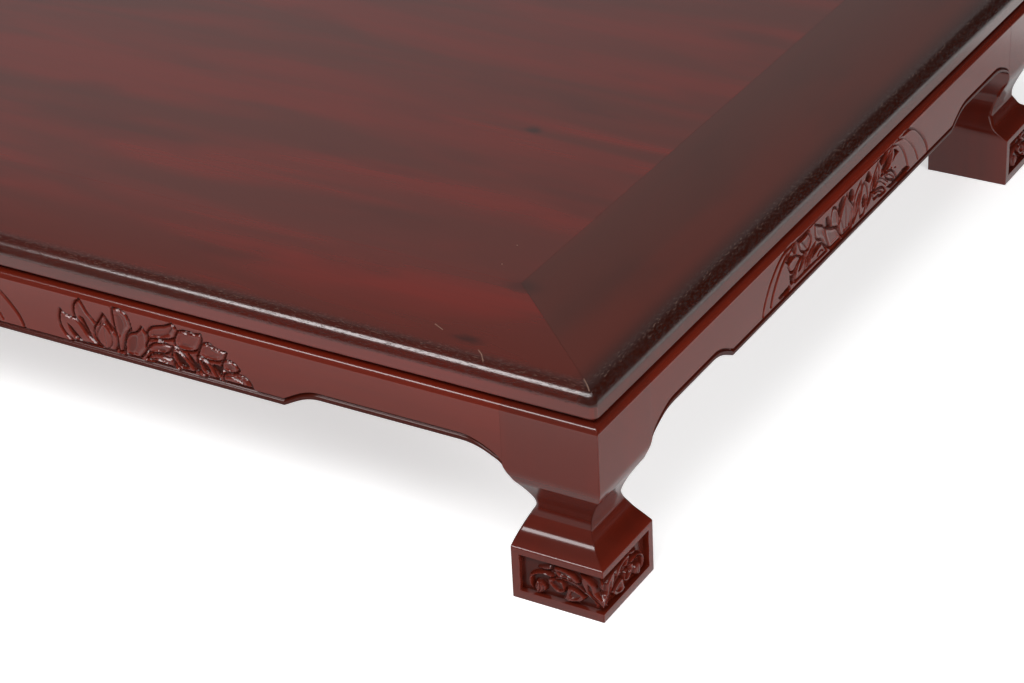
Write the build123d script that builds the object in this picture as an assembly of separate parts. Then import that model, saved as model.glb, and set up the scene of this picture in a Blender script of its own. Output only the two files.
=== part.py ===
"""Low kang table in lacquered hardwood.

A mitred frame holds a flush field of tongued boards, stiffened by sliding dovetail battens.
Four corner posts, each cut in one with its moulded neck and square block foot, carry the frame
on stub tenons. Arched aprons are tenoned between the posts, with a narrow recessed waist above.

Units are millimetres. The origin is on the floor under the middle of the table, +X runs along
the long side, +Y towards the back and +Z up.
"""
from build123d import *
from math import cos, hypot, radians, sin
import os

# ---------------------------------------------------------------- overall sizes
table_length = 1750.0            # along X, over the outer faces of the feet
table_width = 1100.0             # along Y, over the outer faces of the feet
table_height = 248.0

# ---------------------------------------------------------------- fits of the hidden joinery
fit = 0.1                        # clearance round each tongue, tenon and peg
end_room = 1.0                   # room past the end of each tongue, tenon and peg

# ---------------------------------------------------------------- top frame
top_thickness = 28.0
top_setback = 4.0                # frame edge behind the faces of the aprons
rail_width = 153.0               # of the two long members
stile_width = 165.0              # of the two short members
edge_round_run = 14.0            # elliptical rounding of the upper edge, across
edge_round_rise = 16.0           # and down
edge_round_under = 6.0           # rounding of the lower edge
corner_round = 8.0               # rounding of the four corners in plan
mitre_tenon_lift = 9.0           # above the underside of the frame
mitre_tenon_thickness = 8.0
mitre_tenon_shoulder = 60.0      # from the outer edge of the frame
mitre_tenon_width = 62.0
mitre_tenon_stop = 20.0          # wood left past the blind tenon
mitre_peg_radius = 5.0
mitre_peg_inset = 56.0           # peg centre from the end of the rail
mitre_peg_offset = 20.0          # and inwards from the middle of the tenon

# ---------------------------------------------------------------- field of the top
board_count = 5
board_thickness = 14.0
tongue_thickness = 5.0
tongue_length = 8.0
tongue_drop = 5.0                # above each tongue, up to the surface of the table
batten_count = 4
batten_width = 46.0
ridge_height = 3.0               # dovetail ridge of a batten, housed in the boards
ridge_root = 30.0
ridge_crest = 34.0
batten_tenon_width = 30.0
batten_tenon_thickness = 8.0
batten_tenon_lift = 3.0          # above the underside of the frame
batten_tenon_length = 18.0
batten_peg_radius = 4.0

# ---------------------------------------------------------------- waist and aprons
waist_height = 5.0               # shadow gap between the aprons and the frame
waist_setback = 14.0
waist_tongue_thickness = 4.0
waist_tongue_depth = 5.0
apron_thickness = 26.0
apron_depth = 67.5               # at its lowest, between the arches
ledge_radius = 7.0               # rounded upper edge of aprons and posts
arch_rise = 16.0                 # from the low edge up into the arch beside each post
arch_run = 46.0                  # sweep from the post up to the flat of the arch
arch_slope = 1.3                 # rise over run where the arch leaves the post
arch_knee = 0.28                 # part of its sweep where it is half way up
step_run = 43.0                  # sweep from the flat of the arch down to its step
step_slope = 0.5                 # fall over run where the step meets the low edge
step_knee = 0.66                 # part of its sweep where it is half way down
long_step = 350.0                # step of the arch from the corner, long sides
short_step = 275.0               # the same on the short sides
groove_top = 8.0                 # groove along the lower edge, its top above the edge
groove_bottom = 4.0              # and its bottom, half as high at the posts
groove_depth = 3.0
apron_tenon_thickness = 10.0
apron_tenon_setback = 8.0
apron_tenon_length = 24.0
apron_tenon_low = 20.0           # above the low edge of the apron
apron_tenon_high = 14.0          # below the top of the apron

# ---------------------------------------------------------------- posts and block feet
post_face = 104.0                # face of the post, from the corner to the apron
foot_size = 100.0
foot_height = 56.5               # upright faces of the block
arris_run = 1.4                  # rounded upper edge of the block, inwards
arris_rise = 2.2                 # and up
arris_heading = 32.0             # headings are degrees from inwards, turning up
slope_inset = 18.0               # where the slope over the block starts to hollow upwards
slope_rise = 15.5                # all rises are above the upright faces of the block
slope_heading = 46.0
hollow_inset = 25.0              # deepest part of the hollow neck
hollow_rise = 26.0
hollow_heading = 84.0
flare_inset = 24.4               # where the neck starts to flare out
flare_rise = 34.5
flare_heading = 103.0
cove_inset = 18.8                # the flare steepens on the way out to the lip
cove_rise = 49.3
cove_heading = 114.0
lip_inset = 3.6                  # crease under the lip
lip_drop = 16.5                  # all drops are below the low edge of the apron
lip_heading = 124.0
lip_face_heading = 107.0         # the face of the lip leaves the crease and rolls upright
lip_face_drop = 2.5
shoulder_start_rise = 4.5        # inner faces stay upright this far above the block
shoulder_start_heading = 93.0
shoulder_width = 92.5            # inner faces on their way in, from the corner
shoulder_rise = 25.5
shoulder_heading = 117.0
throat_width = 83.6              # narrowest, from the corner to the inner face
throat_rise = 44.0
throat_heading = 92.0
brace_width = 85.0               # inner face straightens out here, up to the apron
brace_rise = 52.0
brace_heading = 64.0
curve_pull = 0.36                # handle of each moulding curve, as part of its chord
panel_depth = 6.0                # sunk panel on the two outer faces of the block
panel_side = 8.0
panel_bottom = 9.5
panel_top = 5.5
post_tenon_height = 6.0          # stub tenons on top of the post
post_tenon_length = 36.0
post_tenon_width = 16.0
post_tenon_near = 27.0           # from the nearer face of the post
post_tenon_far = 57.0            # from the farther face

# ---------------------------------------------------------------- glue blocks
apron_block_size = 25.0
apron_block_length = 60.0
long_block_count = 4
short_block_count = 2
post_block_size = 40.0
post_block_height = 50.0

# ---------------------------------------------------------------- levels and lines they give
half_length = table_length / 2
half_width = table_width / 2
frame_under = table_height - top_thickness
field_under = table_height - board_thickness
tongue_z = (table_height - tongue_drop - tongue_thickness, table_height - tongue_drop)
rail_inner = top_setback + rail_width        # from the outer faces of the aprons
stile_inner = top_setback + stile_width
field_x = half_length - stile_inner
field_y = half_width - rail_inner
apron_top = frame_under - waist_height
apron_low = apron_top - apron_depth
arch_top = apron_low + arch_rise
beyond = 1.0                     # how far a cutting solid runs past the wood

# Each side has its own frame: x along the side from its middle, y inwards from the apron face.
sides = {
    "front": (Pos(0, -half_width, 0), half_length, long_step, long_block_count),
    "right": (Pos(half_length, 0, 0) * Rot(0, 0, 90), half_width, short_step, short_block_count),
    "back": (Pos(0, half_width, 0) * Rot(0, 0, 180), half_length, long_step, long_block_count),
    "left": (Pos(-half_length, 0, 0) * Rot(0, 0, -90), half_width, short_step, short_block_count),
}
# Each corner has its own frame: x and y inwards from the outer faces of the post.
corners = {
    "front_left": Pos(-half_length, -half_width, 0),
    "front_right": Pos(half_length, -half_width, 0) * Rot(0, 0, 90),
    "back_right": Pos(half_length, half_width, 0) * Rot(0, 0, 180),
    "back_left": Pos(-half_length, half_width, 0) * Rot(0, 0, -90),
}


# ---------------------------------------------------------------- drawing helpers
def block(x, y, z):
    """A box between the low and high values of x, y and z."""
    low, high = zip(x, y, z)
    middle = [(a + b) / 2 for a, b in zip(low, high)]
    size = [b - a for a, b in zip(low, high)]
    return Pos(*middle) * Box(*size)


def around(span, room):
    """The span, wider by room at both ends."""
    return (span[0] - room, span[1] + room)


def centred(middle, size):
    """The span of the given size about its middle."""
    return (middle - size / 2, middle + size / 2)


def prism_along_x(edges, x):
    """Edges drawn as (y, z), run along X over the span x."""
    plane = Plane(origin=(x[0], 0, 0), x_dir=(0, 1, 0), z_dir=(1, 0, 0))
    return extrude(plane * make_face(edges), amount=x[1] - x[0], dir=(1, 0, 0))


def prism_along_y(edges, y):
    """Edges drawn as (x, z), run along Y over the span y."""
    plane = Plane(origin=(0, y[0], 0), x_dir=(1, 0, 0), z_dir=(0, -1, 0))
    return extrude(plane * make_face(edges), amount=y[1] - y[0], dir=(0, 1, 0))


def prism_along_z(points, z):
    """A plan polygon, run up over the span z."""
    outline = make_face(Polyline(*points, close=True).edges())
    return extrude(Pos(0, 0, z[0]) * outline, amount=z[1] - z[0], dir=(0, 0, 1))


def moulding(stops):
    """Curves through stops given as (inwards, up, heading), smooth where they meet."""
    curves = []
    for (x0, z0, heading0), (x1, z1, heading1) in zip(stops, stops[1:]):
        pull = curve_pull * hypot(x1 - x0, z1 - z0)
        leave = (x0 + pull * cos(radians(heading0)), z0 + pull * sin(radians(heading0)))
        arrive = (x1 - pull * cos(radians(heading1)), z1 - pull * sin(radians(heading1)))
        curves.append(Bezier((x0, z0), leave, arrive, (x1, z1)))
    return curves


# ---------------------------------------------------------------- top frame
def frame_section(inner):
    """Section of a frame member as (inwards, up), with its rounded outer edge."""
    outer = top_setback
    under_end = (outer + edge_round_under, frame_under)
    upright_low = (outer, frame_under + edge_round_under)
    upright_high = (outer, table_height - edge_round_rise)
    surface_start = (outer + edge_round_run, table_height)
    under_middle = (outer + edge_round_under, frame_under + edge_round_under)
    upper_middle = (outer + edge_round_run, table_height - edge_round_rise)
    return [
        CenterArc(under_middle, edge_round_under, 180, 90),
        Line(upright_low, upright_high),
        EllipticalCenterArc(upper_middle, edge_round_run, edge_round_rise, 90, arc_size=90),
        Line(surface_start, (inner, table_height)),
        Line((inner, table_height), (inner, frame_under)),
        Line((inner, frame_under), under_end),
    ]


def frame_member(half, inner, next_inner):
    """One mitred member in its side's frame, grooved for the tongues of the field."""
    outer_end = half - top_setback
    inner_end = half - next_inner
    solid = prism_along_x(frame_section(inner), (-outer_end, outer_end))
    mitres = [(-outer_end, top_setback), (outer_end, top_setback),
              (inner_end, inner), (-inner_end, inner)]
    solid = solid & prism_along_z(mitres, around((frame_under, table_height), beyond))
    groove_y = (inner - tongue_length - end_room, inner + beyond)
    return solid - block((-half, half), groove_y, around(tongue_z, fit))


def rounded_plan():
    """Upright solid with the rounded outline of the whole frame."""
    length, width = table_length - 2 * top_setback, table_width - 2 * top_setback
    outline = RectangleRounded(length, width, corner_round)
    height = top_thickness + 2 * beyond
    return extrude(Pos(0, 0, frame_under - beyond) * outline, amount=height, dir=(0, 0, 1))


def mitre_tenon_spans(half):
    """Where the blind tenon at the right end of a rail lies, in the side's frame."""
    near = top_setback + mitre_tenon_shoulder
    y = (near, near + mitre_tenon_width)
    x = (half - stile_inner, half - top_setback - mitre_tenon_stop)
    low = frame_under + mitre_tenon_lift
    return x, y, (low, low + mitre_tenon_thickness)


def mitre_joints():
    """Tenons of the rails, their mortises, the peg holes and the pegs, as four lists."""
    tenons, mortises, holes, pegs = [], [], [], []
    for side in ("front", "back"):
        place, half, _, _ = sides[side]
        x, y, z = mitre_tenon_spans(half)
        peg_top = z[1] + end_room
        peg_place = (half - top_setback - mitre_peg_inset, sum(y) / 2 + mitre_peg_offset)
        for turn in (1, -1):
            low, high = sorted((turn * x[0], turn * x[1]))
            tenons.append(place * block((low, high), y, z))
            room = (low, high + end_room) if turn > 0 else (low - end_room, high)
            mortises.append(place * block(room, around(y, fit), around(z, fit)))
            peg_x, peg_y = turn * peg_place[0], peg_place[1]
            pegs.append(place * upright_peg(peg_x, peg_y, peg_top, mitre_peg_radius))
            holes.append(place * upright_hole(peg_x, peg_y, peg_top, mitre_peg_radius))
    return tenons, mortises, holes, pegs


def upright_peg(x, y, top, radius):
    """A round peg flush with the underside of the frame."""
    height = top - frame_under
    return Pos(x, y, frame_under + height / 2) * Cylinder(radius, height)


def upright_hole(x, y, top, radius):
    """The hole for such a peg, open at the underside of the frame."""
    height = top - frame_under + fit + beyond
    return Pos(x, y, frame_under - beyond + height / 2) * Cylinder(radius + fit, height)


# ---------------------------------------------------------------- field boards and battens
def batten_places():
    """Middle of each batten along X."""
    pitch = 2 * field_x / batten_count
    return [pitch * (i + 0.5) - field_x for i in range(batten_count)]


def dovetail_ridge(x, room):
    """The ridge on a batten, or with room round it the housing across the boards."""
    root, crest = ridge_root / 2 + room, ridge_crest / 2 + room
    top = field_under + ridge_height + room
    points = [(x - root, field_under), (x + root, field_under), (x + crest, top), (x - crest, top)]
    return prism_along_y(Polyline(*points, close=True).edges(), (-field_y, field_y))


def batten_tenon_spans(x, turn):
    """Where a batten's end tenon lies in the rail."""
    low = frame_under + batten_tenon_lift
    y = sorted((turn * field_y, turn * (field_y + batten_tenon_length)))
    return centred(x, batten_tenon_width), tuple(y), (low, low + batten_tenon_thickness)


def batten(x):
    """One batten under the field, flush with the underside of the frame."""
    solid = block(centred(x, batten_width), (-field_y, field_y), (frame_under, field_under))
    solid += dovetail_ridge(x, 0)
    for turn in (1, -1):
        solid += block(*batten_tenon_spans(x, turn))
    return solid


def batten_joints():
    """Mortises in the rails for the batten tenons, with the peg holes and the pegs."""
    mortises, holes, pegs = [], [], []
    for x in batten_places():
        for turn in (1, -1):
            tenon_x, tenon_y, tenon_z = batten_tenon_spans(x, turn)
            room = around(tenon_y, end_room)
            mortises.append(block(around(tenon_x, fit), room, around(tenon_z, fit)))
            peg_y = sum(tenon_y) / 2
            peg_top = tenon_z[1] + end_room
            pegs.append(upright_peg(x, peg_y, peg_top, batten_peg_radius))
            holes.append(upright_hole(x, peg_y, peg_top, batten_peg_radius))
    return mortises, holes, pegs


def field_board(index):
    """One board of the field, tongued into the frame and into its neighbour."""
    width = 2 * field_y / board_count
    low = -field_y + index * width
    high = low + width
    tongue_low = low - tongue_length if index == 0 else low
    solid = block((-field_x, field_x), (low, high), (field_under, table_height))
    tongue_x = around((-field_x, field_x), tongue_length)
    solid += block(tongue_x, (tongue_low, high + tongue_length), tongue_z)
    if index > 0:
        groove_y = (low - beyond, low + tongue_length + end_room)
        solid -= block(around(tongue_x, beyond), groove_y, around(tongue_z, fit))
    for x in batten_places():
        solid -= dovetail_ridge(x, fit)
    return solid


# ---------------------------------------------------------------- waist and aprons
def waist_strip(half, room=0.0):
    """Recessed strip over an apron; with room it is the cutter for its tongue's groove."""
    x = (-(half - post_face), half - post_face)
    middle = (waist_setback + apron_thickness) / 2
    tongue_y = around(centred(middle, waist_tongue_thickness), room)
    tongue = block(x, tongue_y, (apron_top - waist_tongue_depth - room, apron_top))
    if room:
        return tongue
    return tongue + block(x, (waist_setback, apron_thickness), (apron_top, frame_under))


def lower_line(half, step, post_z, arch_z, low_z):
    """Lower line of an apron from post to post: arch, step, straight, step, arch."""
    joint = half - post_face
    bend = joint - arch_run
    corner = half - step
    flat_end = corner + step_run
    edges = []
    for turn in (1, -1):
        rise = (turn * (joint - arch_knee * arch_run), (post_z + arch_z) / 2)
        sweep = [(turn * joint, post_z), rise, (turn * bend, arch_z)]
        edges.append(Spline(*sweep, tangents=[(-turn, arch_slope), (-turn, 0)]))
        edges.append(Line((turn * bend, arch_z), (turn * flat_end, arch_z)))
        fall = (turn * (flat_end - step_knee * step_run), (arch_z + low_z) / 2)
        sweep = [(turn * flat_end, arch_z), fall, (turn * corner, low_z)]
        edges.append(Spline(*sweep, tangents=[(-turn, 0), (-turn, -step_slope)]))
    edges.append(Line((corner, low_z), (-corner, low_z)))
    return edges


def apron_section():
    """Section of an apron as (inwards, up), with its rounded ledge."""
    low, face_top = apron_low - beyond, apron_top - ledge_radius
    return [
        Line((0, low), (0, face_top)),
        CenterArc((ledge_radius, face_top), ledge_radius, 90, 90),
        Line((ledge_radius, apron_top), (apron_thickness, apron_top)),
        Line((apron_thickness, apron_top), (apron_thickness, low)),
        Line((apron_thickness, low), (0, low)),
    ]


def region_above(edges, ends, level):
    """Edges closed by a straight box up or down to a level."""
    (left_x, left_z), (right_x, right_z) = ends
    box = [Line((left_x, left_z), (left_x, level)), Line((left_x, level), (right_x, level)),
           Line((right_x, level), (right_x, right_z))]
    return edges + box


def apron_tenons(half, room=0.0, past=0.0):
    """Tenons at the two ends of an apron, or with room the mortises for them."""
    joint = half - post_face
    y = around((apron_tenon_setback, apron_tenon_setback + apron_tenon_thickness), room)
    z = around((apron_low + apron_tenon_low, apron_top - apron_tenon_high), room)
    right = block((joint, joint + apron_tenon_length + past), y, z)
    left = block((-joint - apron_tenon_length - past, -joint), y, z)
    return [left, right]


def under_line(half, step, height):
    """What lies under a line this high over the lower line, as deep as the groove there."""
    joint, post_z = half - post_face, apron_low + height / 2
    line = lower_line(half, step, post_z, arch_top + height, apron_low + height)
    region = region_above(line, ((-joint, post_z), (joint, post_z)), apron_low - beyond)
    return prism_along_y(region, (-beyond, groove_depth))


def apron(half, step):
    """One apron in its side's frame."""
    joint = half - post_face
    ends = ((-joint, apron_low), (joint, apron_low))
    outline = region_above(lower_line(half, step, apron_low, arch_top, apron_low), ends,
                           apron_top + beyond)
    solid = prism_along_x(apron_section(), (-joint, joint))
    solid = solid & prism_along_y(outline, (-beyond, apron_thickness + beyond))
    solid -= (under_line(half, step, groove_top) - under_line(half, step, groove_bottom))
    solid -= waist_strip(half, room=fit)
    for tenon in apron_tenons(half):
        solid += tenon
    return solid


# ---------------------------------------------------------------- posts with block feet
def post_profile():
    """Elevation of a post as (inwards from the corner, up), waist block included."""
    block_top = foot_height
    lip, lip_top = apron_low - lip_drop, apron_low - lip_face_drop
    face_top = apron_top - ledge_radius
    outer = [(0, block_top, 90), (arris_run, block_top + arris_rise, arris_heading),
             (slope_inset, block_top + slope_rise, slope_heading),
             (hollow_inset, block_top + hollow_rise, hollow_heading),
             (flare_inset, block_top + flare_rise, flare_heading),
             (cove_inset, block_top + cove_rise, cove_heading), (lip_inset, lip, lip_heading)]
    lip_face = [(lip_inset, lip, lip_face_heading), (0, lip_top, 90)]
    inner = [(foot_size, block_top + shoulder_start_rise, shoulder_start_heading),
             (shoulder_width, block_top + shoulder_rise, shoulder_heading),
             (throat_width, block_top + throat_rise, throat_heading),
             (brace_width, block_top + brace_rise, brace_heading)]
    return [
        Line((0, 0), (0, block_top)),
        *moulding(outer),
        *moulding(lip_face),
        Line((0, lip_top), (0, face_top)),
        CenterArc((ledge_radius, face_top), ledge_radius, 90, 90),
        Line((ledge_radius, apron_top), (waist_setback, apron_top)),
        Line((waist_setback, apron_top), (waist_setback, frame_under)),
        Line((waist_setback, frame_under), (post_face, frame_under)),
        Line((post_face, frame_under), (post_face, apron_low)),
        Line((post_face, apron_low), (brace_width, block_top + brace_rise)),
        *moulding(inner),
        Line((foot_size, block_top + shoulder_start_rise), (foot_size, 0)),
        Line((foot_size, 0), (0, 0)),
    ]


def post_tenons(room=0.0, past=0.0):
    """The two stub tenons on a post, one under the rail and one under the stile."""
    near = around((post_tenon_near, post_tenon_near + post_tenon_width), room)
    far = around((post_tenon_far, post_tenon_far + post_tenon_length), room)
    z = (frame_under - past, frame_under + post_tenon_height + past)
    return [block(far, near, z), block(near, far, z)]


def leg():
    """One post with its foot, in its corner's frame."""
    reach = (-beyond, post_face + beyond)
    one_way = prism_along_y(post_profile(), reach)
    other_way = prism_along_x(post_profile(), reach)
    solid = one_way & other_way
    across = (-beyond, foot_size - panel_side)
    sunk = (-beyond, panel_depth)
    up = (panel_bottom, foot_height - panel_top)
    solid -= block(across, sunk, up)
    solid -= block(sunk, across, up)
    tenon = around((apron_tenon_setback, apron_tenon_setback + apron_tenon_thickness), fit)
    deep = (post_face - apron_tenon_length - end_room, post_face + beyond)
    z = around((apron_low + apron_tenon_low, apron_top - apron_tenon_high), fit)
    solid -= block(deep, tenon, z)
    solid -= block(tenon, deep, z)
    for stub in post_tenons():
        solid += stub
    return solid


# ---------------------------------------------------------------- glue blocks
def apron_blocks(half, count):
    """Triangular blocks in the angle of an apron and the frame, in the side's frame."""
    size = apron_block_size
    corner = (apron_thickness, frame_under)
    points = [corner, (corner[0] + size, corner[1]), (corner[0], corner[1] - size)]
    pitch = 2 * (half - post_face) / count
    blocks = []
    for i in range(count):
        middle = pitch * (i + 0.5) - (half - post_face)
        edges = Polyline(*points, close=True).edges()
        blocks.append(prism_along_x(edges, centred(middle, apron_block_length)))
    return blocks


def post_blocks():
    """Two triangular blocks in the angles of a post and its aprons, in the corner's frame."""
    size = post_block_size
    z = (apron_top - post_block_height, apron_top)
    corner = (post_face, apron_thickness)
    one = [corner, (corner[0] + size, corner[1]), (corner[0], corner[1] + size)]
    other = [(y, x) for x, y in one]
    return [prism_along_z(one, z), prism_along_z(other, z)]


# ---------------------------------------------------------------- assembly
def cut(solid, cutters):
    for cutter in cutters:
        solid = solid - cutter
    return solid


def build():
    """Every node by name, each with its solid or its group of separate solids."""
    nodes = {}
    tenons, mitre_mortises, mitre_holes, mitre_pegs = mitre_joints()
    batten_mortises, batten_holes, batten_pegs = batten_joints()
    stub_mortises = [place * stub for place in corners.values()
                     for stub in post_tenons(room=fit, past=end_room)]

    plan = rounded_plan()
    for side in ("front", "back"):
        place, half, _, _ = sides[side]
        rail = (place * frame_member(half, rail_inner, stile_inner)) & plan
        own = tenons[:2] if side == "front" else tenons[2:]
        for tenon in own:
            rail = rail + tenon
        nodes[f"top_rail_{side}"] = cut(rail, batten_mortises + batten_holes + mitre_holes
                                        + stub_mortises)
    for side in ("left", "right"):
        place, half, _, _ = sides[side]
        stile = (place * frame_member(half, stile_inner, rail_inner)) & plan
        nodes[f"top_stile_{side}"] = cut(stile, mitre_mortises + mitre_holes + stub_mortises)

    for index in range(board_count):
        nodes[f"field_board_{index + 1}"] = field_board(index)
    for index, x in enumerate(batten_places()):
        nodes[f"batten_{index + 1}"] = cut(batten(x), batten_holes)

    for side, (place, half, step, _) in sides.items():
        nodes[f"waist_{side}"] = place * waist_strip(half)
        nodes[f"apron_{side}"] = place * apron(half, step)
    for corner, place in corners.items():
        nodes[f"leg_{corner}"] = place * leg()

    nodes["mitre_pegs"] = mitre_pegs
    nodes["batten_pegs"] = batten_pegs
    nodes["apron_glue_blocks"] = [place * solid for place, half, _, count in sides.values()
                                  for solid in apron_blocks(half, count)]
    nodes["leg_glue_blocks"] = [place * solid for place in corners.values()
                                for solid in post_blocks()]
    return nodes


def write(nodes):
    os.makedirs("parts", exist_ok=True)
    for name, shape in nodes.items():
        group = shape if isinstance(shape, list) else [shape]
        solids = [solid for piece in group for solid in piece.solids()]
        whole = solids[0] if len(solids) == 1 else Compound(children=solids)
        whole.label = name
        export_step(whole, f"parts/{name}.step")


write(build())
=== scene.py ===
"""The look of a low kang table: lacquered rosewood with carved aprons and carved block feet.

The plain boards, battens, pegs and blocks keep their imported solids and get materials. The frame of
the top, the aprons and the posts are made again here with their finer mouldings and carving, each in
the place of its node. Lengths are millimetres up to the moment a mesh is made, then metres.
"""

import math

import bmesh
import bpy
import numpy as np
from mathutils import Matrix, Vector


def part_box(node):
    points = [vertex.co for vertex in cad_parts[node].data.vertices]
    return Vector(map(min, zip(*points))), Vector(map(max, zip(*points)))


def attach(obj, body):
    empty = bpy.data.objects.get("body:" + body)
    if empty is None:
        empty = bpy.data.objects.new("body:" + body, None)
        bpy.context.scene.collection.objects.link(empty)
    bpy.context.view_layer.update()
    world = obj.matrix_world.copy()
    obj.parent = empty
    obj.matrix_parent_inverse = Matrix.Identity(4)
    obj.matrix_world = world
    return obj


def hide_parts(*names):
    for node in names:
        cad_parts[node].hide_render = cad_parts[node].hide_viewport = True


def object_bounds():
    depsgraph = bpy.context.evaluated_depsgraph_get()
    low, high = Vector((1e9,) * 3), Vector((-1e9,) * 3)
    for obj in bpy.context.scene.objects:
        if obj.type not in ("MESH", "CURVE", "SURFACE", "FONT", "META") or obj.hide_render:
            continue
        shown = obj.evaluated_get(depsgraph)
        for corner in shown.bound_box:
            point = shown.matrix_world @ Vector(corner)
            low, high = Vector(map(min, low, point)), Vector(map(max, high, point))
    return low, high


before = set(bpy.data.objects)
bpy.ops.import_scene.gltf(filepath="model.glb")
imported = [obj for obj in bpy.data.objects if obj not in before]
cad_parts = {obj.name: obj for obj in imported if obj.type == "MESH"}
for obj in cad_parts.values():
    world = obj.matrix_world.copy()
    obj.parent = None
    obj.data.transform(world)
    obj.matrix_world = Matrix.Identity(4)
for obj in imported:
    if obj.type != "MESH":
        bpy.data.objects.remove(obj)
cad_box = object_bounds()
scene = bpy.context.scene
MM = 0.001


def box_mm(node):
    low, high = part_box(node)
    return np.array(low) / MM, np.array(high) / MM


# ---- sizes that the frame gives
half_length, half_width, table_height = np.array(cad_box[1]) / MM
rail_low, rail_high = box_mm("top_rail_front")
stile_low = box_mm("top_stile_right")[0]
apron_low_corner, apron_high_corner = box_mm("apron_front")
waist_low, waist_high = box_mm("waist_front")
top_setback = half_width + rail_low[1]
rail_inner = half_width + rail_high[1]          # from the outer faces of the aprons
stile_inner = half_length - stile_low[0]
frame_under = rail_low[2]
apron_low, apron_top = apron_low_corner[2], apron_high_corner[2]
apron_thickness = apron_high_corner[1] - apron_low_corner[1]
post_face = half_length - waist_high[0]         # width of a post's face, from the corner
waist_inset = half_width + waist_low[1]

# ---- sizes of the mouldings
edge_round_run, edge_round_rise, edge_round_under = 14.0, 16.0, 1.8
face_lean = 0.5                  # of the frame's outer faces, back at the top
corner_round = 8.0               # of the top, in plan
mitre_gap, mitre_spread = 0.02, 0.05   # at its face, and how much wider at the inner end
mitre_open, mitre_ease = 0.12, 0.14    # so that a mitre shows as a fine line
bead_drop = 7.0                  # of the bead along the top of an apron
apron_ease, post_ease = 0.6, 0.8       # of their sharp edges
arch_rise, arch_run, step_run = 16.0, 46.0, 43.0
long_step, short_step = 350.0, 275.0
groove_top = 8.0                 # groove along the lower edge of an apron, above the edge
groove_run_out = 9.0
face_end = 0.4                   # of an apron's carved face, above its groove
groove_shape = [(2.7, 0.3), (3.0, 1.2), (2.4, 2.2), (1.2, 3.0), (0.5, 3.6), (0.1, 4.3), (0.0, 5.0)]
edge_bead = [(0.0, 1.3), (0.15, 0.7), (0.5, 0.2), (1.1, 0.0)]    # back from the face, above the edge
carving_base = 2.5               # of the drawings for an apron, above its lower edge
# painted shade on an apron: a little on its bead under the top and its back, much in the groove along its
# lower edge
apron_shade, groove_shade = 0.25, 0.8
carving_shade, panel_shade = (1.0, 0.3, 3.2), (0.65, 0.8, 4.2)    # painted shade in carved cuts and sunk panels: level, and the depths it starts at and grows over
foot_size, foot_height = 100.0, 56.5
lip = apron_low - 16.5
bead_stops = [(0, apron_top - bead_drop, 67), (1.9, apron_top - 3.1, 61), (4.1, apron_top - 1.1, 20),
              (8.2, apron_top, 4)]
panel_side, panel_bottom, panel_top, panel_depth = 8.0, 9.5, 5.5, 6.0
wall_slope = 0.4                 # how far the walls of a sunk panel lean
panel_pitch = 0.6                # between the rings of a post beside its sunk panels
panel_top_cut = 0.4              # least depth of the carving in them
across_pitch = (0.0065, 0.03)    # in and beside them, as shares of the foot's width
curve_pull = 0.36                # of the handles of a curve, as a share of its chord
foot_slope_stops = [(0, foot_height, 90), (1.4, foot_height + 2.2, 30), (13.5, foot_height + 9.7, 33),
                    (20, foot_height + 16.6, 64), (25, foot_height + 26, 61)]
neck_stops = [(25, foot_height + 26, 90), (24.4, foot_height + 34.5, 103),
              (18.8, foot_height + 49.3, 114), (3.6, lip, 124)]
lip_face_stops = [(3.6, lip, 107), (0, apron_low - 2.5, 90)]
post_inner_stops = [(foot_size, foot_height + 4.5, 93), (92.5, foot_height + 25.5, 117),
                    (83.6, foot_height + 44, 92), (85, foot_height + 52, 64)]
post_edge_rounds = ((58, 78, 122, 146), (0.8, 4.0, 4.0, 0.15))    # by height
# painted shade on a post by height: on the lower foot slope, under the lip and on the bead under the top
post_shade = ((foot_height + 1, foot_height + 7, lip - 6, lip, apron_top - bead_drop, apron_top - 5),
              (0, 0.4, 0.25, 0, 0, 0.25))    # by height
tongue_groove = (17.9, 22.1, apron_top - 5.1)    # for the waist strip: near, far, bottom
board_groove = (9.0, 4.9, 10.1)                  # for the field: deep, top and bottom below the top


def turned(x, y, degrees):
    """The frame of a side, x along it from its middle and y inwards from the apron's face."""
    return Matrix.Translation((x * MM, y * MM, 0)) @ Matrix.Rotation(math.radians(degrees), 4, "Z")


sides = {
    "front": (turned(0, -half_width, 0), half_length, long_step),
    "right": (turned(half_length, 0, 90), half_width, short_step),
    "back": (turned(0, half_width, 180), half_length, long_step),
    "left": (turned(-half_length, 0, -90), half_width, short_step),
}
corners = {
    "front_left": turned(-half_length, -half_width, 0),
    "front_right": turned(half_length, -half_width, 90),
    "back_right": turned(half_length, half_width, 180),
    "back_left": turned(-half_length, half_width, -90),
}


# ---- mesh helpers
def ring_faces(rows, columns):
    """Quads of a surface of rows rings, each of columns points, closed round each ring."""
    row, column = np.meshgrid(np.arange(rows - 1), np.arange(columns), indexing="ij")
    ahead = (column + 1) % columns
    a, b = row * columns + column, row * columns + ahead
    return np.stack([a, b, b + columns, a + columns], -1).reshape(-1, 4)


def make_mesh(name, points, quads, caps=(), sharp=35, painted_shade=None):
    """A mesh from points in mm, quads and a few many-sided caps; the painted shade is 0 to 1 at each point.
    """
    mesh = bpy.data.meshes.new(name)
    faces = quads.tolist() + [list(cap) for cap in caps]
    mesh.from_pydata((np.asarray(points) * MM).tolist(), [], faces)
    mesh.validate()
    turner = bmesh.new()
    turner.from_mesh(mesh)
    bmesh.ops.recalc_face_normals(turner, faces=turner.faces)
    turner.to_mesh(mesh)
    turner.free()
    mesh.shade_smooth()
    mesh.set_sharp_from_angle(angle=math.radians(sharp))
    mesh.update()
    if painted_shade is not None:
        mesh.attributes.new("painted_shade", "FLOAT", "POINT").data.foreach_set("value", np.ravel(painted_shade))
    return mesh


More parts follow.
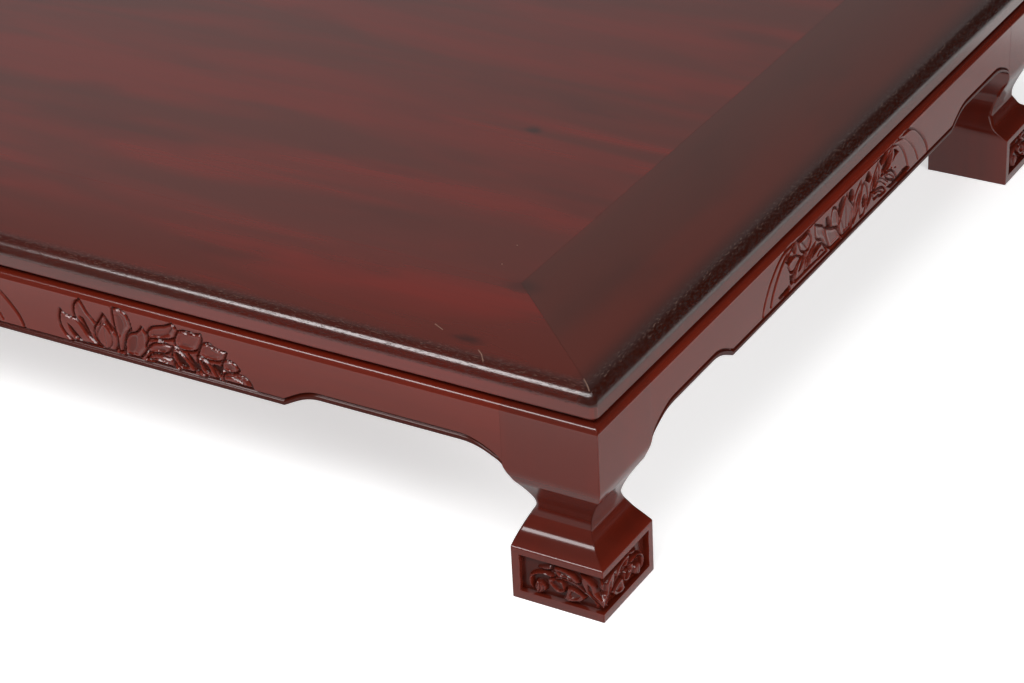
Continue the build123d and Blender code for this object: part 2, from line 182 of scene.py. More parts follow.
def loft(name, rings, sharp=35, painted_shade=None):
    """A closed piece through rings of points, capped at both ends."""
    rings = np.asarray(rings, float)
    rows, columns = rings.shape[:2]
    last = (rows - 1) * columns
    caps = [range(columns - 1, -1, -1), range(last, last + columns)]
    return make_mesh(name, rings.reshape(-1, 3), ring_faces(rows, columns), caps, sharp, painted_shade)


def add_object(name, data):
    thing = bpy.data.objects.new(name, data)
    scene.collection.objects.link(thing)
    return thing


def smooth(x):
    """0 to 1 with level ends."""
    x = np.clip(x, 0, 1)
    return x * x * (3 - 2 * x)


def shade_by_depth(depth, level, start, over):
    """How much painted shade a cut of some depth gets: more the deeper it is."""
    return level * smooth((depth - start) / over)


def moulding(stops, steps=14):
    """Points (inset, height) along curves through stops given as (inset, height, heading)."""
    t = np.linspace(0, 1, steps)[:, None]
    places = np.array([stop[:2] for stop in stops], float)
    turns = [math.radians(stop[2]) for stop in stops]
    ways = [np.array([math.cos(turn), math.sin(turn)]) for turn in turns]
    parts = []
    for p0, p3, way_out, way_in in zip(places, places[1:], ways, ways[1:]):
        pull = curve_pull * np.hypot(*(p3 - p0))
        p1, p2 = p0 + pull * way_out, p3 - pull * way_in
        curve = (1 - t)**3 * p0 + 3 * (1 - t)**2 * t * p1 + 3 * (1 - t) * t**2 * p2 + t**3 * p3
        parts.append(curve[1:] if parts else curve)
    return np.concatenate(parts)


# ---- frame of the top
def arc(centre, radius, start, end, steps, squash=1.0):
    """Points along an arc, angles in degrees; squash scales its height."""
    angles = np.radians(np.linspace(start, end, steps + 1))
    return np.stack([centre[0] + radius * np.cos(angles),
                     centre[1] + radius * squash * np.sin(angles)], -1)


def member_section(inner):
    """Section of a member as (inset from the faces of the aprons, height), going round once."""
    outer, ease = top_setback, 0.15
    under = arc((outer + edge_round_under, frame_under + edge_round_under), edge_round_under,
                270, 180, 6)
    over = arc((outer + edge_round_run, table_height - edge_round_rise), edge_round_run - face_lean,
               180, 90, 14, edge_round_rise / (edge_round_run - face_lean))
    upright = [under[-1] + (over[0] - under[-1]) * part for part in (0.08, 0.92)]
    deep, top, bottom = board_groove
    inside = [(inner - ease, table_height), (inner, table_height - ease),
              (inner, table_height - top), (inner - deep, table_height - top),
              (inner - deep, table_height - bottom), (inner, table_height - bottom),
              (inner, frame_under)]
    return np.concatenate([under, upright, over, inside])


def frame_member(half, inner, next_inner):
    """A mitred member, its outer edge carried round half of the rounded corner at each end."""
    section = member_section(inner)
    inset, height = section[:, 0] - top_setback, section[:, 1]
    spread = (next_inner - top_setback - corner_round) / (inner - top_setback - corner_round)
    past = np.maximum(inset - corner_round, 0)
    shrink = np.maximum(corner_round - inset, 0)
    apart = mitre_spread * past / past.max()
    rings = []
    for angle in np.radians(np.linspace(0, 45, 7)):
        along = corner_round - shrink * math.sin(angle) + past * spread
        across = np.where(inset < corner_round, corner_round - shrink * math.cos(angle), inset)
        rings.append((along + apart, across, height))
    # the last two rings ease the edges of the mitre
    rings[-1] = (along + mitre_open, across, height)
    inwards = [np.clip(line.mean() - line, -mitre_ease, mitre_ease) for line in (inset, height)]
    rings.append((along + mitre_gap, across + inwards[0], height + inwards[1]))
    reach = half - top_setback
    right = [np.stack([reach - a, b + top_setback, h], -1) for a, b, h in rings]
    left = [ring * (-1, 1, 1) for ring in reversed(right)]
    straight = []
    for x in np.linspace(-(reach - next_inner - 2), reach - next_inner - 2, 9):
        straight.append(np.stack([np.full(len(section), x), section[:, 0], height], -1))
    return loft("top_member", left + straight + right)


# ---- carving
def through(points, steps=6):
    """A smooth open curve through a few points."""
    points = np.asarray(points, float)
    if len(points) == 2:
        return points
    padded = np.concatenate([2 * points[:1] - points[1:2], points, 2 * points[-1:] - points[-2:-1]])
    t = np.linspace(0, 1, steps, endpoint=False)[:, None]
    parts = []
    for p0, p1, p2, p3 in zip(padded, padded[1:], padded[2:], padded[3:]):
        parts.append(p1 + 0.5 * t * (p2 - p0 + t * (2 * p0 - 5 * p1 + 4 * p2 - p3
                                                    + t * (3 * (p1 - p2) + p3 - p0))))
    return np.concatenate(parts + [points[-1:]])


def closed(edges):
    """One outline from edges, smooth along each; the last leads back to the start.

    An edge starts where the one before it ended, so only the first names its first point.
    """
    parts, last = [], []
    for edge in edges:
        parts.append(through(last + edge)[:-1])
        last = [edge[-1]]
    return np.concatenate(parts)


def segment_distance(points, line):
    """Distance from each point to a polyline."""
    start, step = line[:-1], np.diff(line, axis=0)
    length = np.maximum((step**2).sum(1), 1e-9)
    from_start = points[:, None] - start
    part = np.clip((from_start * step).sum(2) / length, 0, 1)
    return np.sqrt(((from_start - part[..., None] * step)**2).sum(2).min(1))


def is_inside(points, outline):
    start, end = outline, np.roll(outline, -1, axis=0)
    x, z = points[:, :1], points[:, 1:]
    spans = (start[:, 1] > z) != (end[:, 1] > z)
    rise = np.where(end[:, 1] == start[:, 1], 1e-9, end[:, 1] - start[:, 1])
    crossing = start[:, 0] + (z - start[:, 1]) * (end[:, 0] - start[:, 0]) / rise
    return (spans & (x < crossing)).sum(1) % 2 == 1


class Carving:
    """Depth of cut into a face over a grid of places, worked leaf by leaf from back to front."""

    def __init__(self, across, up, ground=0.0):
        self.places = np.stack([across.ravel(), up.ravel()], -1)
        self.depth = np.full(len(self.places), float(ground))

    def near(self, line, room):
        low, high = line.min(0) - room, line.max(0) + room
        return np.flatnonzero(((self.places > low) & (self.places < high)).all(1))

    def about(self, edges, room):
        """Which places are about an outline, how far each is from it, and if it is inside."""
        outline = closed(edges)
        spots = self.near(outline, room)
        away = segment_distance(self.places[spots], np.concatenate([outline, outline[:1]]))
        return spots, away, is_inside(self.places[spots], outline)

    def leaf(self, *edges, cut=3.3, width=2.3, rim=0.15, dish=0.9):
        """A leaf or petal in a V-cut outline, its surface dished behind a rim."""
        spots, away, inside = self.about(edges, width)
        rise = np.clip(away / width, 0, 1)
        surface = rim + dish * smooth((away - width) / 3.5)
        within = cut * (1 - rise) + surface * rise
        around = np.maximum(self.depth[spots], cut * (1 - np.clip(away / (0.7 * width), 0, 1)))
        self.depth[spots] = np.where(inside, within, around)

    def hollow(self, deep, *edges, wall=1.8):
        """A scooped hollow."""
        spots, away, inside = self.about(edges, 0)
        scoop = np.where(inside, deep * smooth(away / wall + 0.25), 0)
        self.depth[spots] = np.maximum(self.depth[spots], scoop)

    def groove(self, points, deep=1.4, width=1.4, too_deep=4.2):
        """A gouge line with round ends, or a rib where deep is negative."""
        line = through(points)
        spots = self.near(line, width)
        away = segment_distance(self.places[spots], line)
        self.depth[spots] += deep * (1 - smooth(away / width)) * (self.depth[spots] < too_deep)


def side_flower(work):
    """Lotus and leaves beside an arch; across is the distance past the step, up is over the base."""
    leaf, hollow, groove = work.leaf, work.hollow, work.groove
    # the two petals behind
    leaf([(199, 7), (199.5, 23), (201.7, 37), (202.5, 56.5)],
         [(196.7, 58), (190, 56.5), (183.3, 51.5), (179.8, 38.3)], [(187.5, 29), (191, 18), (194, 7)])
    hollow(1.7,
           [(200, 50), (195, 52.5), (190, 48), (187.5, 39), (191, 29), (196, 24), (199.5, 33), (200, 50)],
           wall=4)
    leaf([(191.5, 6.5), (189.5, 22), (184, 31.5), (174, 36), (166.7, 44.2)],
         [(162, 37.5), (160.8, 30), (163, 18), (172.5, 6.3)], [(191.5, 6.5)])
    hollow(1.7,
           [(187, 23), (182, 30), (175, 32.5), (172.5, 28), (175.5, 16), (181, 8.5), (188, 9), (187, 23)],
           wall=4)
    # the outer petal on the left, scooped between ribs
    leaf([(256.7, 6), (265, 11), (270.8, 20), (272, 29), (269.2, 40)],
         [(265, 36), (258, 34), (250.5, 33.3)], [(244, 27), (237, 17), (222, 7)], [(256.7, 6)], dish=0.3)
    hollow(3.4, [(263, 26), (257, 22), (249, 14), (242.5, 7.8)], [(252, 8.8), (259, 16), (263, 26)])
    hollow(2.4, [(250, 31.5), (243, 27), (236.5, 17)], [(242, 21.5), (250, 31.5)], wall=1.5)
    # the tall petal
    leaf([(224, 7), (233, 15), (243, 27), (250.5, 34), (252.2, 42), (250, 51), (242.5, 57.5)],
         [(238.5, 51), (234, 43.5), (226, 35), (220, 22), (217, 7)], [(224, 7)])
    hollow(3.4, [(246, 38), (240, 35), (236, 27), (229.5, 13.5)], [(235, 18), (241, 27), (246, 38)])
    # the bud in front
    leaf([(218.3, 6.3), (225, 11.7), (228.4, 21.7), (227, 29), (221.5, 37), (214.2, 47.5)],
         [(208.3, 40), (201.7, 30), (198.5, 19), (203.3, 6.3)], [(218.3, 6.3)], dish=0.2)
    hollow(3.0, [(214, 45), (208, 37.5), (201.5, 25)], [(207, 30), (212, 37), (214, 45)], wall=1.6)
    hollow(2.2, [(215.5, 43.5), (219.5, 36.5), (223.5, 31)], [(218, 34), (215.5, 43.5)], wall=1.6)
    groove([(215, 35.5), (220.8, 29.5), (224.6, 21.5), (223.3, 13.5), (218, 8)])
    groove([(215, 35.5), (210, 30), (206.5, 21.5), (207.5, 13.3), (212, 8)])
    groove([(215, 30), (215.5, 21), (215, 11)], 0.6)
    # four lobed leaves falling to the right
    leaf([(155, 6), (159, 13), (164, 22), (160, 31)], [(148, 34), (134, 31)], [(132, 20), (134, 6)],
         [(155, 6)], dish=1.2)
    leaf([(157, 32), (161, 38), (155, 46), (146, 49.7), (138, 52), (128.5, 57)],
         [(124.5, 54), (123, 49), (125.5, 42.5), (131, 38), (142, 35)], [(157, 32)])
    groove([(155, 37), (143, 39.5), (134, 44), (129, 52)], 1.0)
    hollow(1.8, [(151, 37), (143, 37.5), (133.5, 42.5)], [(140, 43), (151, 37)], wall=2)
    leaf([(127, 33), (127.5, 39), (122.8, 49.5)], [(116, 52), (108, 52.6), (101, 52), (93.5, 53.4)],
         [(93.2, 47), (96, 40), (100, 33.5), (107, 30), (119, 28.8), (127, 33)])
    hollow(2.2, [(121, 50.3), (110, 51.3), (101, 50.8)], [(110, 48.3), (121, 50.3)], wall=1.5)
    hollow(1.6, [(124, 33), (117, 38), (106, 39)], [(110, 32.5), (124, 33)], wall=3)
    leaf([(100, 28), (97.5, 35), (93.5, 43)], [(85, 45.5), (79, 43), (74, 41), (64, 40)],
         [(66, 35), (68.5, 30), (76, 26.5), (88, 25.5), (100, 28)])
    hollow(2.4, [(91, 43), (84, 44), (75, 40)], [(83, 39.8), (91, 43)], wall=1.5)
    hollow(1.4, [(94, 29), (84, 33), (73, 31.5)], [(82, 27.5), (94, 29)], wall=2.5)
    leaf([(72, 22), (70.5, 28), (67, 31.2)], [(60, 31.3), (54, 28.8), (50, 24)],
         [(54, 19.5), (62, 17), (70, 19), (72, 22)])
    hollow(1.6, [(66, 21), (63, 24.5), (57, 24)], [(61, 19.8), (66, 21)], wall=2)
    leaf([(71, 6), (71.5, 12), (67, 16), (59, 17.5), (53, 18.7)],
         [(47, 18), (41, 15), (37.5, 10.5), (36, 6)], [(71, 6)], dish=0.3)
    groove([(69, 11.5), (60, 13), (48, 10)], 1.5)
    groove([(54, 15.5), (46, 14.5), (40.5, 9.5)], 1.1)
    # the curled leaves along the base
    leaf([(164, 18), (159, 24), (153, 28.3), (142, 30.6), (130, 30.6)],
         [(133, 25.5), (138, 20), (147, 18), (155, 16.5), (164, 18)])
    hollow(1.8, [(152, 21.5), (144, 24.8), (137.5, 24.5)], [(143, 20.8), (152, 21.5)])
    leaf([(165, 7.5), (159, 13.5), (150, 16), (132, 15.3)], [(130.8, 11), (130, 6)], [(165, 7.5)], dish=0.3)
    groove([(159, 9.3), (149, 11), (139, 9.5)], 1.5)
    hollow(3.0, [(156, 17.3), (150, 18.3), (139, 18.3)], [(147, 16), (156, 17.3)], wall=1)
    leaf([(133, 18.5), (128, 11), (124, 7), (118, 6)], [(106, 6)],
         [(105.5, 10), (109.5, 16), (116, 23), (124, 27.8), (131, 28.8)], [(133, 18.5)], rim=0.1, dish=0)
    hollow(3.4, [(130.5, 25), (124, 24.6), (117.5, 20), (111.5, 12.5), (113.5, 9)],
           [(121, 9), (126.5, 15), (130.5, 25)])
    leaf([(102, 27), (94, 26.5), (86, 21.5), (80.5, 13.5), (75, 6.5)],
         [(90, 6.5), (96.5, 9.5), (100, 16), (102, 27)], rim=0.1, dish=0)
    hollow(3.2, [(99.5, 24.5), (92, 22.5), (86.5, 16.5), (84.5, 11)], [(91, 10.5), (96, 16), (99.5, 24.5)])
    groove([(96, 20), (90, 13.5)], -1.4, 1.0)
    for edges in (
            ([(114, 28), (109, 27), (103, 20), (99.5, 13), (99.5, 7)],
             [(104.5, 9), (109, 17), (114, 28)]),
            ([(85, 20.5), (78, 23.5), (72, 22)], [(71, 16), (74, 10.5), (79.5, 14.5), (85, 20.5)])):
        hollow(3.6, *edges)


def middle_flower(work):
    """Lotus between nested leaves; across is from the middle of the side, up is over the base."""
    leaf, hollow, groove = work.leaf, work.hollow, work.groove
    # nested blades at the two ends
    for line, deep, width in (
            ([(-208.6, 8), (-205.7, 16.4), (-200, 25.7), (-191.4, 36.4), (-178.6, 47), (-167, 53.6),
              (-155.7, 55.6), (-140, 56)], 2.4, 2.6),
            ([(-190, 10), (-186.4, 19.3), (-180, 28.6), (-171.4, 38), (-162.9, 45), (-152.9, 50.7)], 2.6,
             3.2),
            ([(205.5, 7), (200.6, 18), (193, 28), (182.9, 38.5), (169.7, 48.8), (156.5, 54.7),
              (138.8, 56)], 2.4, 2.6),
            ([(178.5, 9), (171, 22), (160.9, 34), (149, 44.4), (138.8, 51.8), (124, 56)], 1.5, 2.2),
            ([(151.5, 11), (146, 23.8), (138.8, 35.6), (128.5, 47.4), (121, 52), (109.4, 55.4)], 1.8,
             2.6)):
        groove(line, deep, width)
    groove([(-140, 56), (0, 56.4), (138.8, 56)], 1.6, 1.5)
    # the curl and the three shells to the left of the lotus
    leaf([(-128.6, 54.5), (-120, 51), (-101, 51.5)], [(-95.5, 41), (-101.4, 32.5)],
         [(-111.4, 33.5), (-121.4, 40.7), (-128.6, 54.5)])
    hollow(3.2, [(-128, 55), (-101, 55)], [(-99, 51), (-114.3, 50.5), (-128, 55)], wall=1.5)
    groove([(-117, 47.5), (-111, 42), (-106, 35.5)], 1.4, 1.3)
    leaf([(-151, 36), (-143, 39.5), (-132, 39.5), (-119, 32)],
         [(-128.6, 28.6), (-136, 24.5), (-144.3, 26), (-151, 36)], dish=0.2)
    leaf([(-156, 44), (-148.6, 49.3), (-140, 52), (-131, 53)],
         [(-132.9, 45), (-140, 39.3), (-148.6, 38.6), (-156, 44)], dish=0.2)
    hollow(2.8, [(-153, 43.5), (-147, 46.5), (-138, 43)], [(-146, 40), (-153, 43.5)])
    hollow(3.2, [(-141, 49.5), (-134, 51.5)], [(-134.5, 46), (-137.5, 44.5), (-141, 49.5)], wall=1.6)
    hollow(3.2, [(-147.5, 24), (-140, 22), (-129, 28)], [(-134, 18), (-136, 10.5)],
           [(-145, 12), (-147.5, 24)])
    for edges, scoop in (
            (([(-134.3, 10), (-131.4, 20.7), (-122.9, 29.3), (-107.1, 33)], [(-107.9, 25), (-112.9, 10)]),
             ([(-127, 17.5), (-118, 27.5), (-109.5, 31)], [(-113, 22.5), (-121, 17), (-127, 17.5)])),
            (([(-111, 10), (-108.6, 20.7), (-100, 28), (-85.7, 33)],
              [(-91.4, 25.5), (-98.6, 18), (-101.4, 10)]),
             ([(-107.6, 14), (-103, 23.5), (-89.5, 31.3)], [(-98, 23.5), (-104, 14), (-107.6, 14)])),
            (([(-100, 10), (-97, 19.3), (-86, 26), (-76, 26), (-67, 22)], [(-61.5, 15), (-57, 9)]),
             ([(-95, 17.5), (-85, 24), (-69, 22.5)], [(-78, 20), (-88, 17.5), (-95, 17.5)]))):
        leaf(*edges, edges[0][:1], rim=0.1, dish=0.3)
        hollow(3.2, *scoop)
    groove([(-80, 13.5), (-73, 16.5), (-66, 14)], 2.0, 1.5)
    # the lotus
    leaf([(-50, 8), (-62.9, 19), (-70, 28), (-80, 32.5), (-86, 40), (-87.1, 53.6)],
         [(-77, 48), (-68.6, 43.6), (-62.9, 38), (-58, 24), (-50, 8)], dish=1.0)
    leaf([(-46.5, 30), (-48, 40.7), (-45.7, 48), (-42.9, 52.3)],
         [(-35.7, 49.3), (-30, 43.6), (-27.5, 35), (-28.6, 23)], [(-46.5, 30)], dish=0.9)
    leaf([(-50, 8), (-57, 20), (-61, 30), (-62, 38)], [(-49, 31.5), (-36, 26), (-27, 16), (-24, 8)],
         [(-50, 8)], dish=1.0)
    hollow(3.6, [(-61.5, 49), (-54.3, 48.5), (-50, 40), (-45.5, 31.5)],
           [(-54.3, 34.5), (-60.5, 40), (-61.5, 49)])
    hollow(3.6, [(-29.5, 49.5), (-20, 54), (-12.9, 52), (-14.5, 43.5), (-24.3, 30.5)],
           [(-27.5, 39), (-29.5, 49.5)])
    hollow(3.6, [(-4, 51.5), (2, 53), (8.5, 49.5), (9.8, 41.5), (5, 36.5)], [(-1, 43.5), (-4, 51.5)])
    leaf([(-20, 7.5), (-25.7, 16), (-27, 24), (-21.4, 33.6), (-15.7, 42), (-8, 53)],
         [(-2, 44), (5, 36.5), (10, 30), (11.6, 21), (8, 13.5), (2, 7.5)], [(-20, 7.5)], dish=1.2)
    groove([(-8, 40), (-7.5, 26), (-8, 14)], 0.8, 1.2)
    groove([(-19, 26), (-16, 18), (-13, 12)], 0.6, 1.0)
    groove([(4, 26), (1.5, 18), (-2, 12)], 0.6, 1.0)
    # lens-shaped leaves to the right, scooped, with deep gaps between them
    for edges, scoop in (
            (([(9, 10), (11.6, 26.8), (11, 36), (15.3, 43), (27, 51.5)],
              [(29.3, 43), (27, 35.6), (22.6, 26.8), (18.2, 18), (9, 10)]),
             ([(14, 18), (15, 31), (20, 38), (25.5, 43)], [(24.3, 35.5), (19, 28), (14, 18)])),
            (([(25.6, 8.5), (22.8, 19.4), (24.1, 26.8), (28.5, 35.6), (31.5, 43), (35.9, 46.5)],
              [(41, 40), (43.4, 32.6), (44.7, 25), (40.3, 16.5), (34.4, 8.5)]),
             ([(30, 18), (30.5, 28), (37, 31.5), (41, 24)], [(37, 16.5), (30, 18)])),
            (([(50, 24), (53.5, 34), (60.9, 43), (70.4, 53)],
              [(73.6, 46), (74, 37), (69.7, 29.7), (62, 25), (50, 24)]),
             ([(55.5, 27.5), (59, 36), (69, 45.5)], [(69.5, 37), (64, 29.3), (55.5, 27.5)])),
            (([(79, 33), (81.5, 40), (91.8, 47.5), (109.4, 54.5)],
              [(108, 46), (103.5, 37), (92, 32.7), (79, 33)]),
             ([(82.5, 35.5), (84.5, 40.5), (97, 47), (107, 49)],
              [(102, 38.5), (92, 34.8), (82.5, 35.5)]))):
        leaf(*edges, edges[0][:1], rim=0.1, dish=0)
        hollow(3.3, *scoop, wall=2.2)
    leaf([(56.5, 22.6), (64, 23), (75, 21), (86, 16.5), (92.5, 9.5)],
         [(80, 9.5), (70, 13), (61, 13.5), (56.5, 22.6)])
    groove([(62, 19.5), (72, 18), (83, 12.5)], 1.6, 1.4)
    leaf([(88.8, 30), (101, 30), (112.4, 24), (119, 16), (122, 9)],
         [(112.4, 12.8), (102, 18), (94, 24), (88.8, 30)])
    groove([(94, 27.5), (104, 23.5), (114, 16)], 1.4, 1.3)
    groove([(71, 30.5), (80, 26), (92, 17)], 2.0, 1.5)
    groove([(75, 32.5), (84, 28), (97, 18.5)], 2.0, 1.5)
    for gap in (
            ([(37.4, 47.4), (42, 52.5), (49, 53), (55.5, 43)], [(50, 39.5), (44, 42), (37.4, 47.4)]),
            ([(41.5, 10.5), (45, 20), (50, 23.3), (57.5, 22)], [(50, 15), (41.5, 10.5)]),
            ([(73, 53.5), (83, 55.5), (98, 54)], [(90, 49.5), (80, 45.5), (73, 53.5)]),
            ([(112, 50.5), (119, 47.3), (127, 40.5)], [(118, 40), (109, 36.5), (113.5, 43), (112, 50.5)]),
            ([(-174, 11.5), (-163, 12.3), (-147, 13.6)], [(-146, 7), (-174, 7)]),
            ([(92, 13.5), (112, 12.3), (134, 15.5), (149, 14.3)], [(154, 7), (94, 7)])):
        hollow(3.4, *gap)
    hollow(1.8, [(104, 34), (107, 31.5), (110, 29.5)], [(106, 30), (104, 34)], wall=1.0)
    hollow(1.8, [(112.5, 28), (117, 27.5), (121, 25)], [(117, 25.3), (112.5, 28)], wall=1.0)


def foot_flower(work):
    """Scroll, bud and blades that stand out of a foot's sunk panel; across is from the corner."""
    leaf, hollow, groove = work.leaf, work.hollow, work.groove

    def blade(*edges, dish=0):
        leaf(*edges, cut=5.9, width=2.0, rim=0.6, dish=dish)

    leaf([(76, 38.5), (74, 42), (68, 44.3), (57.5, 47.2)], [(60, 41), (66, 38.6), (76, 38.5)], cut=5.8,
         width=2.4, rim=2.6, dish=0.3)
    blade([(52, 36), (60, 38), (67, 38.6), (76, 36), (82, 30.5), (84.2, 23), (81.5, 15.5), (75.5, 11.5)],
          [(78, 16.5), (79.3, 22.5), (77.5, 28), (71.5, 33), (64, 34), (56, 31)], [(52, 36)])
    blade([(79, 18), (77, 24), (72, 27), (66.5, 24.5), (64.8, 18.5), (68, 12.8), (75, 11.8), (79, 18)],
          dish=-0.3)
    for lean in (-3.5, 0, 3.5):
        groove([(72 + 0.3 * lean, 26), (72 + lean, 19), (72 + 0.6 * lean, 12.5)], 1.2, 1.0)
    blade([(62, 33), (61.5, 26.5), (58, 20.3), (52, 17.6), (46, 20.5), (42.5, 27), (46, 32), (54, 34.5),
           (62, 33)])
    hollow(3.8,
           [(58.5, 29), (54, 31.5), (47.5, 30.8), (45, 27.5), (47, 23), (52, 21.3), (56.5, 24), (58.5, 29)])
    blade([(46, 13.5), (46, 20), (43, 26), (37.5, 28.7), (30, 27), (24, 21.5)],
          [(29, 15), (38, 11.5), (46, 13.5)])
    hollow(3.2, [(43, 17), (41, 23), (35.5, 25.5), (28.5, 22)], [(33, 17), (38.5, 15), (43, 17)], wall=3)
    blade([(57.2, 45.4), (52, 47.6), (45, 47.4), (38, 44.6), (32, 40), (28.5, 35)],
          [(36, 34.6), (43, 35.3), (50.5, 35.3), (55, 39), (57.2, 45.4)])
    hollow(3.4, [(54.5, 43.5), (49, 44.6), (42, 42.7), (36, 38)], [(43, 38), (50, 39), (54.5, 43.5)],
           wall=2.4)
    blade([(55, 32), (56, 35), (47, 37), (36.5, 36), (27, 32.5), (19, 27), (12, 20.5), (5, 14)],
          [(11, 13), (19, 21.5), (27, 28), (37, 31.8), (47, 33), (55, 32)])
    groove([(52, 34.3), (46, 35), (36.5, 33.8), (27, 30.2), (19, 24.5), (8.5, 14.5)], 1.6, 0.9)
    blade([(27.6, 46.6), (29.6, 41), (28, 36), (23, 31.2), (16, 24.3), (9.5, 17.5), (5, 13.5)],
          [(3.5, 20), (6, 27), (10.4, 33.5), (16, 39.5), (22.6, 44.5), (27.6, 46.6)])
    hollow(3.4, [(23, 39.5), (17, 35.5), (12, 29.3), (7.5, 20)], [(12.5, 24.5), (19, 32), (23, 39.5)])
    blade([(10.8, 44.5), (8.2, 38), (5.8, 30), (3, 21)], [(-4, 20)], [(-4, 46)], [(4, 46), (10.8, 44.5)])


# ---- aprons
def lower_line(step, post_z, arch_z, low_z):
    """Heights of an apron's lower line by distance from the corner, as two arrays."""
    up = moulding([(post_face, post_z, 52), (post_face + 0.28 * arch_run, (post_z + arch_z) / 2, 27),
                   (post_face + arch_run, arch_z, 0)], 9)
    flat_end = step - step_run
    down = moulding([(flat_end, arch_z, 0), (flat_end + 0.66 * step_run, (arch_z + low_z) / 2, -28),
                     (step, low_z, -27)], 9)
    return np.concatenate([up, down]).T


def spaced(low, high, pitch):
    """Even steps from low to high, none longer than the pitch."""
    return np.linspace(low, high, max(2, int(math.ceil((high - low) / pitch)) + 1))


def apron_columns(half, step, fine_spans, pitch, bend_pitch=4.0, plain_pitch=20.0):
    """Places along the apron, close together where it is carved or bends."""
    fine = [(max(0, low), high) for low, high in fine_spans]
    marks = sorted({0.0, half - post_face, *[mark for span in fine for mark in span]})
    stops = [[0.0], half - step + np.linspace(-1.5, 1.5, 7)[[0, 2, 3, 4, 6]]]
    for low, high in zip(marks, marks[1:]):
        carved = any(start <= low and high <= end for start, end in fine)
        bends = high > half - step - 2
        stops.append(spaced(low, high, pitch if carved else bend_pitch if bends else plain_pitch))
    stops = np.unique(np.round(np.concatenate(stops), 2))
    return np.concatenate([-stops[:0:-1], stops])


def apron_carving(x, z, half, step):
    """Depth of an apron's carving over its face."""
    up = z - apron_low - carving_base
    middle = Carving(x, up)
    middle_flower(middle)
    depth = middle.depth
    if half > half_width:
        ends = Carving(half - np.abs(x) - step, up)
        side_flower(ends)
        depth = depth + ends.depth
    return depth.reshape(x.shape)


def apron(half, step, fine_spans, pitch, row_pitch):
    """One apron in its side's frame, carved, with a groove along its lower edge."""
    x = apron_columns(half, step, fine_spans, pitch)
    from_corner = half - np.abs(x)
    low = np.interp(from_corner, *lower_line(step, apron_low, apron_low + arch_rise, apron_low))
    top = np.interp(from_corner, *lower_line(step, apron_low + groove_top / 2,
                                             apron_low + arch_rise + groove_top, apron_low + groove_top))
    near, far, bottom = tongue_groove
    face_top = apron_top - bead_drop
    flat = np.ones_like(x)
    upper = [(apron_thickness, apron_top), (far, apron_top), (far, bottom), (near, bottom),
             (near, apron_top), *moulding(bead_stops, 5)[:0:-1]]
    ring = [(apron_thickness * flat, low + apron_ease)] + [(y * flat, z * flat) for y, z in upper]
    face = len(ring)
    part = np.linspace(0, 1, len(spaced(apron_low + groove_top, face_top, row_pitch)))[:, None]
    face_z = face_top + (top + face_end - face_top) * part
    depth = apron_carving(x * np.ones_like(face_z), face_z, half, step)
    ring += list(zip(depth, face_z))
    # the groove runs out beside the posts, and starts behind what is carved down to it
    run = smooth((from_corner - post_face) / groove_run_out)
    edge = run * np.clip(depth[-1] + 0.2, 0.3, 2.6)
    ring.append((edge, top))
    for deep, drop in groove_shape:
        behind = np.maximum(deep * run, edge) if drop < 2 else deep * run
        ring.append((behind, top - drop * (top - low) / groove_top))
    ring += [(back * flat, low + up) for back, up in edge_bead]
    ring.append(((apron_thickness - apron_ease) * flat, low))
    points = np.stack([np.stack([x, y, z], -1) for y, z in ring], 1)
    # painted shade: the carved face darker the deeper it is cut, the groove and lower edge dark, the rest a
    # little
    painted_shade = np.full((len(ring), len(x)), apron_shade)
    painted_shade[face:face + len(face_z)] = shade_by_depth(depth, *carving_shade)
    painted_shade[face + len(face_z):] = groove_shade
    return loft("apron", points, painted_shade=painted_shade.T)


# ---- posts and feet
def post_levels():
    """The rings of a post: how far its outer and inner faces are in, height, and if it is sunk."""
    outer = [*moulding(foot_slope_stops, 8), *moulding(neck_stops, 11)[1:], *moulding(lip_face_stops, 7)[1:]]
    inner = np.array([(foot_size, 0), *moulding(post_inner_stops), (post_face, apron_low),
                      (post_face, frame_under)])
    floor, ceiling = panel_bottom, foot_height - panel_top
    block = [(post_ease, 0), (0.25 * post_ease, 0.25 * post_ease), (0, post_ease), (0, floor)]
    sunk = [(0, z) for z in spaced(floor + wall_slope, ceiling - wall_slope, panel_pitch)]
    face = [(0, z) for z in np.linspace(apron_low, apron_top - bead_drop - 1, 5)]
    above = [(0, ceiling), *outer, *face, *moulding(bead_stops, 5), (waist_inset, apron_top),
             (waist_inset, frame_under)]
    return [(x, np.interp(z, inner[:, 1], inner[:, 0]), z, rows is sunk)
            for rows in (block, sunk, above) for x, z in rows]


